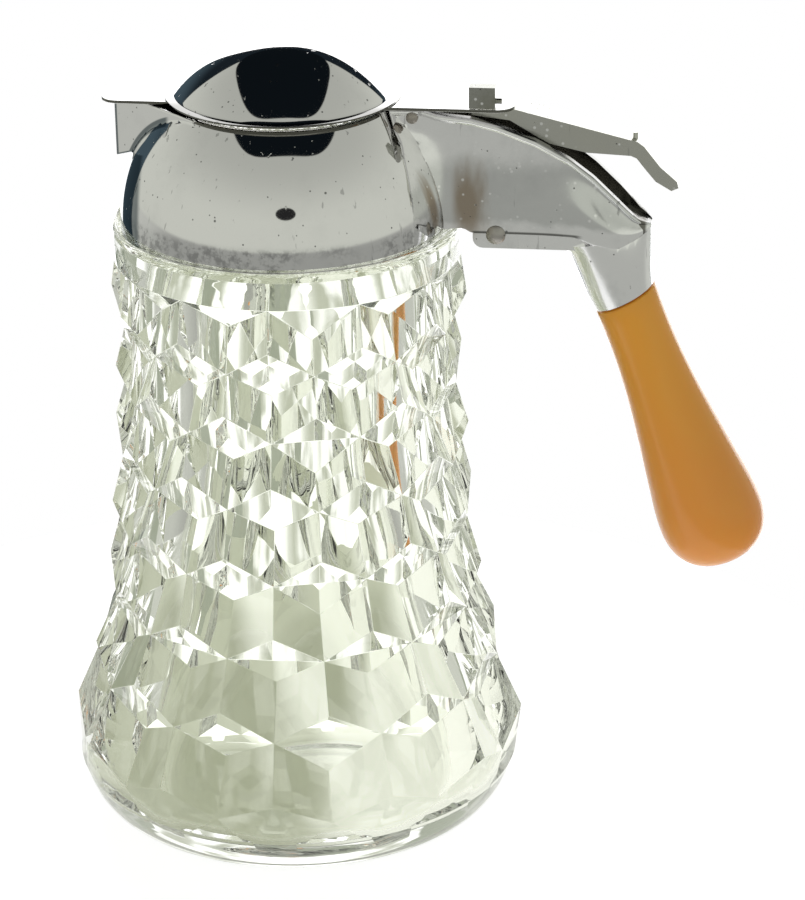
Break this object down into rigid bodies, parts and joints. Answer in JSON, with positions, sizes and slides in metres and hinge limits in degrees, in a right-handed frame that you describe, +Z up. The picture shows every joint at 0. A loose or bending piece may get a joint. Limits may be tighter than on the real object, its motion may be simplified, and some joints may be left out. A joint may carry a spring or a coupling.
{
  "type": "glass syrup dispenser",
  "caption": "Glass syrup dispenser: flared jar with a relief of stacked cubes, domed metal cap with a spout, thumb-slid lid and moulded grip.",
  "frame": {"origin": "on the jar's axis, at the flat underside the jar stands on", "axes": "+Z up along the jar's axis, +X towards the grip, -X towards the spout, +Y across"},
  "size_m": [0.1157, 0.076, 0.1308],
  "materials": {
    "glass": "clear pressed glass with a faint green cast",
    "chrome": "plated, polished, lightly pitted and scratched",
    "satin": "worn satin plating with small pits",
    "grip": "glossy moulded resin, amber"
  },
  "bodies": {
    "jar_and_handle": {"glass_jar": "glass", "cap": "chrome", "handle_housing": "satin", "handle_bracket": "satin", "housing_rivet": "satin", "guide_pin": "satin", "grip": "grip"},
    "lid_slide": {"lid_dome": "chrome", "slide_plate": "chrome", "thumb_lever": "satin", "plate_tab": "satin"}
  },
  "joints": [
    {"name": "lid_pull", "type": "slide", "parent": "jar_and_handle", "child": "lid_slide", "axis": [1, 0, 0], "range_m": [0, 0.012], "stiffness_N_per_m": 200, "springref_m": -0.01}
  ]
}
